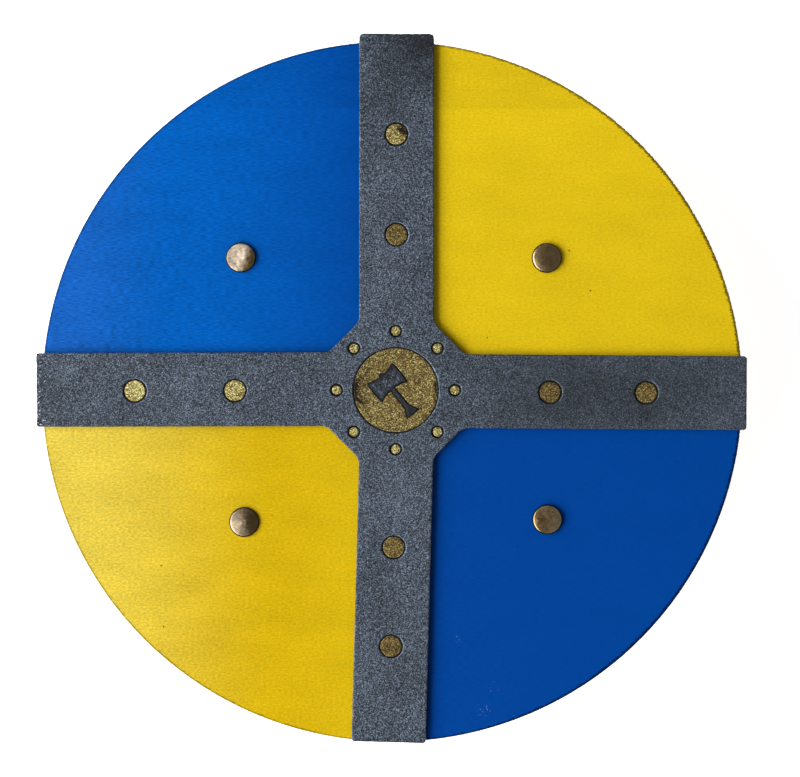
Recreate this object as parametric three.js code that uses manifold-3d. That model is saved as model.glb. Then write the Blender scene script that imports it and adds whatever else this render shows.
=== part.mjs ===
// A child's round wooden shield, in millimetres.
// +Z is the painted front, +Y the top of the shield, +X its right as seen from the front.
// It lies face up on its two arm straps, with z = 0 at the undersides of the straps
// and the axis of the round board through x = 0, y = 0.
import * as THREE from 'three';
import { mergeVertices } from 'three/addons/utils/BufferGeometryUtils.js';
import Module from 'manifold-3d';

const wasm = await Module();
wasm.setup();

// Board: one plywood disc.
const boardRadius = 175;
const boardThickness = 6;
const boardEdgeChamfer = 0.5;
const boardSides = 144;

// Foam cross, one sheet glued to the front. Its hub sits a little off the board's centre.
const foamThickness = 3;
const foamEdgeChamfer = 0.4;
const glueLine = 0.05;
const hubX = 1.8;
const hubY = 0.75;
const hubHalfWidth = 37.2;
const hubFillet = 6.5;
const outlineSteps = 3;

const armWidth = 37.2;
const spotInset = 49;
const spotSpacing = 49.5;

// Each arm, cut and laid by hand: its heading, how far its middle line lies to the left
// of the hub's centre, its width, how far it passes the rim, its end corners, and its two
// gold spots, the outer one measured from the arm's end, the inner one from the outer one,
// and both a little to the left of the middle line.
const arms = [
  {
    heading: -0.4, shift: -0.3, width: armWidth - 0.2, overhang: 2.1, corner: 1.8,
    inset: spotInset + 1.2, spacing: spotSpacing - 1.5, spotShift: -0.2,
  },
  {
    heading: 90, shift: -0.45, width: armWidth + 0.3, overhang: 3.8, corner: 2.4,
    inset: spotInset + 1.3, spacing: spotSpacing + 0.6, spotShift: 0.1,
  },
  {
    heading: 180.15, shift: -0.55, width: armWidth - 0.2, overhang: 2.85, corner: 1,
    inset: spotInset + 0.4, spacing: spotSpacing + 0.5, spotShift: 0.6,
  },
  {
    heading: 268.45, shift: 1.15, width: armWidth, overhang: 0.1, corner: 1.6,
    inset: spotInset - 1, spacing: spotSpacing - 0.1, spotShift: -0.1,
  },
];

// Pressed recesses in the foam: the arms' spots, the hub's ring of dots and its roundel.
const recessDepth = 0.8;
const recessSlope = 0.55;
const spotRadius = 5.75;
const dotRadius = 3;
const dotCount = 8;
const dotCircleRadius = 29.5;
const roundelRadius = 21.5;
const roundelSides = 64;
const spotSides = 24;
const dotSides = 16;

// The axe that stands in the roundel at the level of the foam's face.
const axeX = -4.25;
const axeY = 3.8;
const axeTurn = 39.5;
const axeHeadSpan = 16;
const axeHeadHeight = 11.7;
const axeWaist = 8.6;
const axePeak = 1.3;
const axeCurl = 0.6;
const axeEdgeBulge = 0.9;
const axeHandleLength = 15.9;
const axeHandleWidth = 2.6;
const axeFootWidth = 7.4;
const axeFootHeight = 5;
const axeSteps = 4;

// Rivets: a domed cap with a hollow stem in front, and a capped post behind. They stand
// in two columns and two rows, each a little astray because the holes were drilled by eye.
const rivetColumn = 76;
const rivetRow = 65.7;
const rivets = [
  { name: 'top_left', x: -rivetColumn + 0.3, y: rivetRow + 1.3 },
  { name: 'top_right', x: rivetColumn + 1.2, y: rivetRow + 1.1 },
  { name: 'bottom_left', x: -rivetColumn + 2, y: -rivetRow + 0.5 },
  { name: 'bottom_right', x: rivetColumn + 1.5, y: -rivetRow + 1.8 },
];
const capRadius = 7.5;
const capHeight = 2.6;
const capEdge = 0.4;
const capRoll = 0.2;
const stemRadius = 2.3;
const stemBoreRadius = 1.5;
const stemShortfall = 1;
const pinClearance = 0.2;
const postCapRadius = 6;
const postCapHeight = 1.6;
const postCapEdge = 0.5;
const holeClearance = 0.3;
const seatGap = 0.05;
const rivetSides = 24;
const domeSteps = 4;

// Straps: each one bows away from the back between its two rivets.
const straps = [
  { name: 'left', lower: 'bottom_left', upper: 'top_left' },
  { name: 'right', lower: 'bottom_right', upper: 'top_right' },
];
const strapWidth = 26;
const strapThickness = 2.5;
const strapBow = 36;
const strapLegSlope = 60;
const strapHeelRadius = 10;
const strapCrownRadius = 24;
const strapTabInner = 11;
const strapTabOuter = 13;
const strapEndCorner = 6;
const bendSteps = 6;

// Heights of the faces that meet.
const boardBack = strapThickness + strapBow + seatGap;
const boardFront = boardBack + boardThickness;
const strapTop = boardBack - seatGap;
const rivetFront = boardFront + seatGap;
const rivetBack = strapTop - strapThickness - seatGap;
const rivetGrip = rivetFront - rivetBack;

const holeRadius = stemRadius + holeClearance;
const cutMargin = 1;

// A closed three.js geometry as a solid: only positions are kept, and slivers are dropped.
function solid(geometry) {
  geometry.deleteAttribute('normal');
  geometry.deleteAttribute('uv');
  const welded = mergeVertices(geometry, 1e-5);
  const index = [];
  for (let i = 0; i < welded.index.count; i += 3) {
    const [a, b, c] = [0, 1, 2].map((k) => welded.index.getX(i + k));
    if (a !== b && b !== c && c !== a) index.push(a, b, c);
  }
  return new wasm.Manifold(new wasm.Mesh({
    numProp: 3,
    vertProperties: new Float32Array(welded.attributes.position.array),
    triVerts: new Uint32Array(index),
  }));
}

// A solid as a named mesh with its own finish.
function piece(name, body, color, roughness, metalness = 0) {
  const { vertProperties, triVerts } = body.getMesh();
  const geometry = new THREE.BufferGeometry();
  geometry.setAttribute('position', new THREE.BufferAttribute(vertProperties, 3));
  geometry.setIndex(new THREE.BufferAttribute(triVerts, 1));
  geometry.computeVertexNormals();
  const mesh = new THREE.Mesh(geometry, new THREE.MeshStandardMaterial({ color, roughness, metalness }));
  mesh.name = name;
  return mesh;
}

// A profile of [radius, height] points, listed upwards along its outside, turned about Z.
function revolve(profile, sides) {
  const points = profile.map(([radius, height]) => new THREE.Vector2(radius, height));
  return solid(new THREE.LatheGeometry(points, sides).rotateX(Math.PI / 2));
}

// An outline in X and Y, raised from z = 0.
function prism(shape, depth, curveSegments) {
  return solid(new THREE.ExtrudeGeometry(shape, { depth, curveSegments, bevelEnabled: false }));
}

// A straight round hole along Z between two heights.
function hole(x, y, radius, low, high) {
  const length = high - low;
  const pin = new THREE.CylinderGeometry(radius, radius, length, rivetSides).rotateX(Math.PI / 2);
  return solid(pin.translate(x, y, (low + high) / 2));
}

// The point where two lines meet, each given by a point and a direction.
function meet(p, u, q, v) {
  const along = q.clone().sub(p).cross(v) / u.cross(v);
  return p.clone().addScaledVector(u, along);
}

// A closed outline through corners listed anticlockwise, each rounded by its own radius.
function roundedOutline(corners) {
  const shape = new THREE.Shape();
  corners.forEach(({ at, radius }, i) => {
    const before = corners[(i + corners.length - 1) % corners.length].at;
    const after = corners[(i + 1) % corners.length].at;
    const back = before.clone().sub(at).normalize();
    const ahead = after.clone().sub(at).normalize();
    const half = Math.acos(back.dot(ahead)) / 2;
    const clockwise = back.cross(ahead) > 0;
    const middle = back.clone().add(ahead).setLength(radius / Math.sin(half)).add(at);
    const start = back.clone().multiplyScalar(radius / Math.tan(half)).add(at).sub(middle);
    const end = ahead.clone().multiplyScalar(radius / Math.tan(half)).add(at).sub(middle);
    shape.absarc(middle.x, middle.y, radius, start.angle(), end.angle(), clockwise);
  });
  return shape;
}

const direction = (degrees) => {
  const radians = THREE.MathUtils.degToRad(degrees);
  return new THREE.Vector2(Math.cos(radians), Math.sin(radians));
};
const leftOf = (ahead) => new THREE.Vector2(-ahead.y, ahead.x);

// Where an arm runs, in the hub's frame: its middle line, its side lines and its length.
function armLines({ heading, shift, width, overhang }) {
  const ahead = direction(heading);
  const left = leftOf(ahead);
  const middle = left.clone().multiplyScalar(shift);
  const reach = boardRadius + overhang - ahead.dot(new THREE.Vector2(hubX, hubY));
  const end = middle.clone().addScaledVector(ahead, reach);
  const side = (sign) => left.clone().multiplyScalar(sign * width / 2);
  return { ahead, left, middle, end, reach, side };
}

// Outline of the cross: four straight arms and an eight-sided hub between them, whose
// slanted sides lie on a square turned by 45 degrees.
function crossOutline() {
  const corners = [];
  for (const arm of arms) {
    const { ahead, left, middle, end, side } = armLines(arm);
    const slant = (turn) => {
      const normal = direction(Math.round(arm.heading / 90) * 90 + turn);
      return [normal.clone().multiplyScalar(hubHalfWidth), leftOf(normal)];
    };
    const right = middle.clone().add(side(-1));
    const far = middle.clone().add(side(1));
    corners.push({ at: meet(right, ahead, ...slant(-45)), radius: hubFillet });
    corners.push({ at: meet(right, ahead, end, left), radius: arm.corner });
    corners.push({ at: meet(far, ahead, end, left), radius: arm.corner });
    corners.push({ at: meet(far, ahead, ...slant(45)), radius: hubFillet });
  }
  return roundedOutline(corners);
}

// The axe seen from the front, upright, about the middle of its head.
function axeOutline() {
  const edge = axeHeadSpan / 2;
  const curl = edge * axeCurl;
  const tip = axeHeadHeight / 2;
  const waist = axeWaist / 2;
  const grip = axeHandleWidth / 2;
  const foot = axeFootWidth / 2;
  const end = -waist - axeHandleLength;
  const shape = new THREE.Shape();
  shape.moveTo(grip, -waist);
  shape.quadraticCurveTo(curl, -waist, edge, -tip);
  shape.quadraticCurveTo(edge + axeEdgeBulge, 0, edge, tip);
  shape.quadraticCurveTo(curl, waist, grip, waist);
  shape.lineTo(0, waist + axePeak);
  shape.lineTo(-grip, waist);
  shape.quadraticCurveTo(-curl, waist, -edge, tip);
  shape.quadraticCurveTo(-edge - axeEdgeBulge, 0, -edge, -tip);
  shape.quadraticCurveTo(-curl, -waist, -grip, -waist);
  shape.lineTo(-grip, end + axeFootHeight);
  shape.lineTo(-foot, end);
  shape.lineTo(foot, end);
  shape.lineTo(grip, end + axeFootHeight);
  shape.closePath();
  return shape;
}

// A round recess that narrows to its floor, cut down from the foam's face.
function recess(x, y, radius, sides) {
  const slope = recessSlope * (recessDepth + cutMargin) / recessDepth;
  const floor = radius - recessSlope;
  const height = recessDepth + cutMargin;
  const cone = new THREE.CylinderGeometry(floor + slope, floor, height, sides).rotateX(Math.PI / 2);
  return solid(cone.translate(x, y, foamThickness - recessDepth + height / 2));
}

// The foam cross about the hub's centre, with its back face at z = 0.
function crossBody() {
  const sheet = solid(new THREE.ExtrudeGeometry(crossOutline(), {
    depth: foamThickness - foamEdgeChamfer,
    curveSegments: outlineSteps,
    bevelThickness: foamEdgeChamfer,
    bevelSize: foamEdgeChamfer,
    bevelOffset: -foamEdgeChamfer,
    bevelSegments: 1,
  })).trimByPlane([0, 0, 1], 0);
  const axe = prism(axeOutline(), foamThickness, axeSteps)
    .rotate([0, 0, axeTurn])
    .translate([axeX, axeY, 0]);
  const cuts = [recess(0, 0, roundelRadius, roundelSides).subtract(axe)];
  for (let i = 0; i < dotCount; i += 1) {
    const at = direction(i * 360 / dotCount).multiplyScalar(dotCircleRadius);
    cuts.push(recess(at.x, at.y, dotRadius, dotSides));
  }
  for (const arm of arms) {
    const { ahead, left, end } = armLines(arm);
    for (const back of [arm.inset, arm.inset + arm.spacing]) {
      const at = end.clone().addScaledVector(ahead, -back).addScaledVector(left, arm.spotShift);
      cuts.push(recess(at.x, at.y, spotRadius, spotSides));
    }
  }
  return cuts.reduce((body, cut) => body.subtract(cut), sheet);
}

// The plywood disc with its back at z = 0 and a hole at each rivet.
function boardBody() {
  const rim = boardRadius - boardEdgeChamfer;
  const disc = revolve([
    [0, 0],
    [rim, 0],
    [boardRadius, boardEdgeChamfer],
    [boardRadius, boardThickness - boardEdgeChamfer],
    [rim, boardThickness],
    [0, boardThickness],
  ], boardSides);
  const drill = ({ x, y }) => hole(x, y, holeRadius, -cutMargin, boardThickness + cutMargin);
  return rivets.reduce((body, rivet) => body.subtract(drill(rivet)), disc);
}

// Outside of a low dome on a short upright edge, as [radius, height] points up to its top.
function domeProfile(radius, edge, height) {
  const points = [];
  for (let i = 0; i < domeSteps; i += 1) {
    const angle = (i / domeSteps) ** 1.3 * Math.PI / 2;
    points.push([radius * Math.cos(angle), edge + (height - edge) * Math.sin(angle)]);
  }
  return [...points, [0, height]];
}

// The domed cap: its underside is at z = 0 and its hollow stem points down.
function rivetCapBody() {
  const stemLength = rivetGrip - stemShortfall;
  return revolve([
    [0, 0],
    [stemBoreRadius, 0],
    [stemBoreRadius, -stemLength],
    [stemRadius, -stemLength],
    [stemRadius, 0],
    [capRadius - capRoll, 0],
    [capRadius, capRoll],
    ...domeProfile(capRadius, capEdge, capHeight),
  ], rivetSides);
}

// The post: its cap hangs below z = 0 and its pin stands up inside the stem.
function rivetPostBody() {
  const pinRadius = stemBoreRadius - pinClearance;
  const pinLength = rivetGrip - stemShortfall;
  const dome = domeProfile(postCapRadius, postCapEdge, postCapHeight);
  return revolve([
    ...dome.map(([radius, height]) => [radius, -height]).reverse(),
    [postCapRadius, 0],
    [pinRadius, 0],
    [pinRadius, pinLength],
    [0, pinLength],
  ], rivetSides);
}

// Side view of a bowed strap as points and headings: flat tabs under the board, a bend
// down, a straight leg, a bend back to level, and a flat crown in the middle.
function strapLine(span) {
  const slope = THREE.MathUtils.degToRad(strapLegSlope);
  const bends = strapHeelRadius + strapCrownRadius;
  const leg = (strapBow - bends * (1 - Math.cos(slope))) / Math.sin(slope);
  const legSpan = bends * Math.sin(slope) + leg * Math.cos(slope);
  const crown = span - 2 * (strapTabInner + legSpan);
  const tab = strapTabOuter + strapTabInner;
  const runs = [
    { length: tab },
    { length: strapHeelRadius * slope, turn: -slope },
    { length: leg },
    { length: strapCrownRadius * slope, turn: slope },
    { length: crown },
    { length: strapCrownRadius * slope, turn: slope },
    { length: leg },
    { length: strapHeelRadius * slope, turn: -slope },
    { length: tab },
  ];
  let heading = 0;
  const at = new THREE.Vector2(-span / 2 - strapTabOuter, -strapThickness / 2);
  const line = [{ at: at.clone(), heading }];
  for (const { length, turn = 0 } of runs) {
    const steps = turn ? bendSteps : 1;
    const chord = turn ? 2 * length / turn * Math.sin(turn / steps / 2) : length;
    for (let i = 0; i < steps; i += 1) {
      heading += turn / steps / 2;
      at.add(new THREE.Vector2(Math.cos(heading), Math.sin(heading)).multiplyScalar(chord));
      heading += turn / steps / 2;
      line.push({ at: at.clone(), heading });
    }
  }
  return line;
}

// A strap along Y about the middle of its span, with its tabs' upper faces at z = 0.
function strapBody(span) {
  const line = strapLine(span);
  const face = (sign) => line.map(({ at, heading }) => {
    const normal = new THREE.Vector2(-Math.sin(heading), Math.cos(heading));
    return at.clone().addScaledVector(normal, sign * strapThickness / 2);
  });
  const profile = new THREE.Shape([...face(-1), ...face(1).reverse()]);
  const ribbon = new THREE.ExtrudeGeometry(profile, { depth: strapWidth, bevelEnabled: false });
  ribbon.translate(0, 0, -strapWidth / 2);
  ribbon.applyMatrix4(new THREE.Matrix4().makeBasis(
    new THREE.Vector3(0, 1, 0),
    new THREE.Vector3(0, 0, 1),
    new THREE.Vector3(1, 0, 0),
  ));
  const halfWidth = strapWidth / 2;
  const halfLength = span / 2 + strapTabOuter;
  const plan = roundedOutline([
    { at: new THREE.Vector2(halfWidth, -halfLength), radius: strapEndCorner },
    { at: new THREE.Vector2(halfWidth, halfLength), radius: strapEndCorner },
    { at: new THREE.Vector2(-halfWidth, halfLength), radius: strapEndCorner },
    { at: new THREE.Vector2(-halfWidth, -halfLength), radius: strapEndCorner },
  ]);
  const depth = strapBow + strapThickness + 2 * cutMargin;
  const blank = prism(plan, depth, outlineSteps).translate([0, 0, cutMargin - depth]);
  const punch = (y) => hole(0, y, holeRadius, -strapThickness - cutMargin, cutMargin);
  return solid(ribbon).intersect(blank).subtract(punch(-span / 2)).subtract(punch(span / 2));
}

function board() {
  const mesh = piece('board', boardBody(), 0x1c5fb8, 0.45);
  mesh.position.z = boardBack;
  return mesh;
}

function cross() {
  const mesh = piece('cross', crossBody(), 0x4a515c, 0.55, 0.3);
  mesh.position.set(hubX, hubY, boardFront + glueLine);
  return mesh;
}

function rivet({ name, x, y }) {
  const group = new THREE.Group();
  const cap = piece(`rivet_cap_${name}`, rivetCapBody(), 0x8a7350, 0.35, 0.9);
  const post = piece(`rivet_post_${name}`, rivetPostBody(), 0x8a7350, 0.35, 0.9);
  cap.position.z = rivetFront;
  post.position.z = rivetBack;
  group.position.set(x, y, 0);
  group.add(cap, post);
  return group;
}

function strap({ name, lower, upper }) {
  const find = (wanted) => rivets.find((one) => one.name === wanted);
  const low = new THREE.Vector2(find(lower).x, find(lower).y);
  const high = new THREE.Vector2(find(upper).x, find(upper).y);
  const along = high.clone().sub(low);
  const middle = low.clone().add(high).multiplyScalar(0.5);
  const mesh = piece(`strap_${name}`, strapBody(along.length()), 0x5a3a22, 0.7);
  mesh.position.set(middle.x, middle.y, strapTop);
  mesh.rotation.z = along.angle() - Math.PI / 2;
  return mesh;
}

const shield = new THREE.Group();
shield.add(board(), cross(), ...rivets.map(rivet), ...straps.map(strap));

export default shield;
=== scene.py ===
"""Looks for a child's round plywood shield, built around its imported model.

The board, the foam cross, the rivets and the arm straps each get a finer shell than the CAD
solid that they stand for, inside the same space. All shapes are worked out in millimetres.
"""
import math

import bpy
import numpy as np
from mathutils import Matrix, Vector
from mathutils.geometry import delaunay_2d_cdt


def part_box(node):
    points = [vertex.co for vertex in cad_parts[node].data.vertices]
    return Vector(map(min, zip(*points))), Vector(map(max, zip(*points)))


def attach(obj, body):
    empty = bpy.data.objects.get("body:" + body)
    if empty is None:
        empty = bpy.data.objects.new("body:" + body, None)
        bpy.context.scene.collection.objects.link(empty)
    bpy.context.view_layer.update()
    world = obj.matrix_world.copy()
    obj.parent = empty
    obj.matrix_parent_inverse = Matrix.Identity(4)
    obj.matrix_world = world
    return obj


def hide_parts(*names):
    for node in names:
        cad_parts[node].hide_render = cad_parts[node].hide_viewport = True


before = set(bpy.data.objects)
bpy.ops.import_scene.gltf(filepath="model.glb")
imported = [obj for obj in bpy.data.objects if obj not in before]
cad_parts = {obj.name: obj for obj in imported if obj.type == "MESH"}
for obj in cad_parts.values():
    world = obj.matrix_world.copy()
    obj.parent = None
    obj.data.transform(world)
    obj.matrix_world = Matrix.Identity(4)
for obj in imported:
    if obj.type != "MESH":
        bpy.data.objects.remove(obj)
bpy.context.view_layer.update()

bl_info = {
    "name": "Round Plywood Shield",
    "version": (1, 0, 0),
    "blender": (4, 5, 0),
    "location": "View3D > Sidebar > Shield",
    "description": "Dresses a packed round shield with paint, foam, brass and leather",
    "category": "Object",
}

MM = 0.001


def heights(node):
    """Lowest and highest point of a CAD node, in millimetres."""
    low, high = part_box(node)
    return low.z / MM, high.z / MM


def middle(node):
    """Middle of a CAD node's box seen from above, in millimetres."""
    low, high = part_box(node)
    return np.array([(low.x + high.x) / 2, (low.y + high.y) / 2]) / MM


BOARD_BACK, BOARD_FRONT = heights("board")
FOAM_BACK, FOAM_FRONT = heights("cross")
BOARD_LOW, BOARD_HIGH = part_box("board")
BOARD_RADIUS = (BOARD_HIGH.x - BOARD_LOW.x) / 2 / MM

# The foam cross, in millimetres from the hub's centre, as the source has it.
HUB = np.array([1.8, 0.75])
HUB_HALF_WIDTH = 37.2
HUB_FILLET = 6.5
# An arm's tones brighten or darken its two gold spots as a painted sheen, brighter towards the light on
# the left.
ARMS = (
    dict(heading=-0.4, shift=-0.3, width=37.0, overhang=2.1, corner=1.8,
         inset=50.2, spacing=48, spot_shift=-0.2, tones=(-0.36, -0.5)),
    dict(heading=90, shift=-0.45, width=37.5, overhang=3.8, corner=2.4,
         inset=50.3, spacing=50.1, spot_shift=0.1, tones=(0.12, -0.38)),
    dict(heading=180.15, shift=-0.55, width=37, overhang=2.85, corner=1,
         inset=49.4, spacing=50, spot_shift=0.6, tones=(0.66, 0.5)),
    dict(heading=268.45, shift=1.15, width=37.2, overhang=0.1, corner=1.6,
         inset=48, spacing=49.4, spot_shift=-0.1, tones=(-0.5, -0.42)),
)
SPOT_RADIUS = 5.75
DOT_RADIUS = 3
DOT_COUNT = 8
DOT_CIRCLE = 29.5
ROUNDEL_RADIUS = 21.5
# By a recess's radius: where its gold ends and where the dark groove round it ends.
GROOVES = {SPOT_RADIUS: (-0.5, 0.2), DOT_RADIUS: (-0.65, 0.2), ROUNDEL_RADIUS: (-0.55, 0.0)}
AXE_PLACE = (-4.25, 3.8)
AXE_TURN = 39.5

# The rivets' and straps' sizes that a box can't tell, in millimetres.
CORNERS = ("top_left", "top_right", "bottom_left", "bottom_right")
STEM_RADIUS = 2.3
STEM_BORE = 1.5
CAP_EDGE = 0.3
CAP_ROLL = 0.12
CAP_FULLNESS = 3.6
SEAT_GAP = 0.05
POST_SEAT = 2.6
PIN_RADIUS = 1.3
HOLE_RADIUS = 2.6
STRAP_BOW = 36
STRAP_SLOPE = math.radians(60)
STRAP_HEEL = 10
STRAP_CROWN = 24
STRAP_TAB_INNER = 11
STRAP_TAB_OUTER = 13
STRAP_CORNER = 6


def linear(code):
    """An sRGB hex value such as #1C5FB8 as linear red, green, blue and a full alpha."""
    parts = [int(code[i:i + 2], 16) / 255 for i in (1, 3, 5)]
    return tuple(c / 12.92 if c <= 0.04045 else ((c + 0.055) / 1.055) ** 2.4 for c in parts) + (1.0,)


def shade(colour, factor, tint=(1, 1, 1)):
    """A colour made darker or lighter by a factor, and tinted."""
    return tuple(min(1.0, c * factor * t) for c, t in zip(colour[:3], tint)) + (1.0,)


# Shapes.


def ripple(x, y, size, seed, waves=9):
    """A smooth random field between about -1 and 1: the mean of several plane cosine waves
    whose lengths are near one size and whose directions and phases are drawn from a seed."""
    rng = np.random.default_rng(seed)
    turn, phase = rng.uniform(0, 2 * np.pi, (2, waves))
    pull = 2 * np.pi / size * rng.uniform(0.6, 1.6, waves)
    x, y = np.asarray(x)[..., None], np.asarray(y)[..., None]
    run = x * np.cos(turn) + y * np.sin(turn)
    return np.cos(pull * run + phase).sum(-1) / math.sqrt(waves / 2) / 1.6


def circle(x, y, radius, count, clockwise=False):
    """Evenly spaced points on a circle."""
    angle = np.arange(count) * 2 * np.pi / count * (-1 if clockwise else 1)
    return np.stack([x + radius * np.cos(angle), y + radius * np.sin(angle)], 1)


def outward(loop):
    """Mitre normals of a closed loop, to the right of its run: the two sides' unit normals added
    and stretched, so that a move along one shifts both sides by the same distance."""
    side = np.roll(loop, -1, 0) - loop
    side /= np.linalg.norm(side, axis=1, keepdims=True)
    normal = np.stack([side[:, 1], -side[:, 0]], 1)
    before = np.roll(normal, 1, 0)
    return (normal + before) / (1 + (normal * before).sum(1, keepdims=True))


def cut(start, end, step):
    """Points from one point up to just before another, about one step apart."""
    count = max(1, round(float(np.linalg.norm(end - start)) / step))
    return start + (end - start) * (np.arange(count) / count)[:, None]


def rounded_loop(corners, radii, step, arc_step=0.35):
    """A closed anticlockwise loop: each corner is an arc tangent to its two sides, and the
    straight parts between the arcs are cut into equal steps."""
    corners = np.asarray(corners, float)
    starts, arcs = [], []
    for before, at, after, radius in zip(np.roll(corners, 1, 0), corners, np.roll(corners, -1, 0), radii):
        back = (before - at) / np.linalg.norm(before - at)
        ahead = (after - at) / np.linalg.norm(after - at)
        half = math.acos(float(back @ ahead)) / 2
        centre = at + (back + ahead) / np.linalg.norm(back + ahead) * radius / math.sin(half)
        start = at + back * radius / math.tan(half) - centre
        turn = math.pi - 2 * half
        if back[0] * ahead[1] - back[1] * ahead[0] > 0:
            turn = -turn
        steps = max(4, math.ceil(abs(turn) * radius / arc_step))
        angle = math.atan2(start[1], start[0]) + turn * np.arange(steps + 1) / steps
        arcs.append(centre + radius * np.stack([np.cos(angle), np.sin(angle)], 1))
    for arc, following in zip(arcs, arcs[1:] + arcs[:1]):
        starts += [arc[:-1], cut(arc[-1], following[0], step)]
    return np.concatenate(starts)


def inside(points, loops):
    """Which points lie inside closed loops by the even-odd rule, and how far each is from the
    nearest loop point. A ray from each point to the right counts the sides that it crosses."""
    a = np.concatenate(loops)
    b = np.concatenate([np.roll(loop, -1, 0) for loop in loops])
    within, gap = [], []
    for part in np.array_split(points, max(1, len(points) * len(a) // 4_000_000)):
        x, y = part[:, :1], part[:, 1:]
        spans = (a[:, 1] > y) != (b[:, 1] > y)
        rise = np.where(b[:, 1] == a[:, 1], 1, b[:, 1] - a[:, 1])
        crossing = a[:, 0] + (y - a[:, 1]) / rise * (b[:, 0] - a[:, 0])
        within.append((spans & (crossing > x)).sum(1) % 2 == 1)
        gap.append(np.sqrt(((a[:, 0] - x) ** 2 + (a[:, 1] - y) ** 2).min(1)))
    return np.concatenate(within), np.concatenate(gap)


def arc_profile(inset, height, radius, start, end, steps=5):
    """Points (inset, height) on a circular arc between two angles in degrees, about a centre
    given by its own inset and height. The angle 0 points outwards and 90 points up."""
    angle = np.radians(np.linspace(start, end, steps + 1))
    return [(inset - radius * math.cos(a), height + radius * math.sin(a)) for a in angle]


class Shell:
    """A closed piece in the making: its points in millimetres, and its faces with their finishes.
    Every loop has the piece's own matter on its left."""

    def __init__(self):
        self.points = np.empty((0, 3))
        self.faces = []
        self.finishes = []

    def put(self, points):
        """Adds points and returns their numbers."""
        first = len(self.points)
        self.points = np.concatenate([self.points, points])
        return np.arange(first, len(self.points))

    def face(self, faces, finish):
        """Adds faces of one finish, or of one finish each."""
        self.faces.append(faces)
        self.finishes.append(np.broadcast_to(finish, len(faces)))

    def rings(self, loop, profile, finish):
        """Carries a profile of (inset, height) along a closed loop: point j of ring i is loop
        point j moved in by the inset along its mitre normal, at the height. Neighbouring rings
        are joined by quads, and each band has a finish. Returns the rings' point numbers."""
        profile = np.asarray(profile, float)
        inset, height = profile[:, 0, None, None], profile[:, 1, None, None]
        flat = loop - outward(loop) * inset
        ring = np.concatenate([flat, np.broadcast_to(height, flat.shape[:2] + (1,))], 2)
        index = self.put(ring.reshape(-1, 3)).reshape(flat.shape[:2])
        far = np.roll(index, -1, 1)
        quads = np.stack([index[:-1], far[:-1], far[1:], index[1:]], -1)
        bands = np.broadcast_to(np.asarray(finish).reshape(-1, 1), quads.shape[:2])
        self.face(quads.reshape(-1, 4), bands.reshape(-1))
        return index

    def fill(self, rings, step, finish, up=True, seams=()):
        """Fills the flat between closed rings: a staggered grid of points, one step apart, keeps
        clear of the rings, and a constrained Delaunay net joins grid and rings. Seams are runs
        of points that the net's edges follow. Returns the new points' numbers."""
        edge_ids = np.concatenate(rings)
        loops = [self.points[ring, :2] for ring in rings]
        height = self.points[edge_ids[0], 2]
        low, high = np.concatenate(loops).min(0), np.concatenate(loops).max(0)
        rows = np.arange(low[1], high[1], step * 0.866)
        x, y = np.meshgrid(np.arange(low[0], high[0], step), rows)
        x = x + step / 2 * (np.arange(len(rows)) % 2)[:, None]
        grid = np.stack([x.ravel(), y.ravel()], 1)
        if len(seams):
            off_seam = np.min([np.linalg.norm(grid[:, None] - s, axis=2).min(1) for s in seams], 0)
            grid = grid[off_seam > 0.6 * step]
        within, gap = inside(grid, loops)
        grid = np.concatenate([grid[within & (gap > 0.6 * step)], *seams])
        new_ids = self.put(np.concatenate([grid, np.full((len(grid), 1), height)], 1))
        ids = np.concatenate([edge_ids, new_ids])
        edges, first = [], 0
        for loop in loops:
            run = first + np.arange(len(loop))
            edges.append(np.stack([run, np.roll(run, -1)], 1))
            first += len(loop)
        first = len(ids) - sum(len(s) for s in seams)
        for seam in seams:
            run = first + np.arange(len(seam))
            edges.append(np.stack([run[:-1], run[1:]], 1))
            first += len(seam)
        flat = self.points[ids, :2]
        net = delaunay_2d_cdt(flat.tolist(), np.concatenate(edges).tolist(), [], 0, 1e-6)
        if len(net[0]) != len(ids):
            raise RuntimeError("two points of a flat lie on each other")
        triangles = np.array(net[2])
        within, _ = inside(flat[triangles].mean(1), loops)
        triangles = ids[triangles[within]]
        self.face(triangles if up else triangles[:, ::-1], finish)
        return new_ids

    def lathe(self, profile, sides, finish):
        """Turns a profile of (radius, height) about the Z axis, listed upwards along its outside.
        It starts and ends on the axis, in one point each, which a fan of triangles closes."""
        profile = np.asarray(profile, float)
        angle = np.arange(sides) * 2 * np.pi / sides
        radius, height = profile[1:-1, 0, None], profile[1:-1, 1, None]
        ring = np.stack([radius * np.cos(angle), radius * np.sin(angle), height + 0 * angle], -1)
        index = self.put(ring.reshape(-1, 3)).reshape(ring.shape[:2])
        far = np.roll(index, -1, 1)
        self.face(np.stack([index[:-1], far[:-1], far[1:], index[1:]], -1).reshape(-1, 4), finish)
        for end, ring_ids, next_ids in ((0, far[0], index[0]), (-1, index[-1], far[-1])):
            pole = self.put(np.array([[0, 0, profile[end, 1]]]))
            self.face(np.stack([ring_ids, next_ids, np.broadcast_to(pole, sides)], 1), finish)

    def hole(self, x, y, count, thick, soft, reach, finish):
        """A rivet hole through a sheet, with a softened edge at each face and a flat ring round
        it that reaches a little way. Returns the numbers of its lowest and highest ring."""
        wall = [(reach, 0), (soft, 0), (0, soft), (0, thick - soft), (soft, thick), (reach, thick)]
        index = self.rings(circle(x, y, HOLE_RADIUS, count, True), wall, finish)
        return index[0], index[-1]


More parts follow.
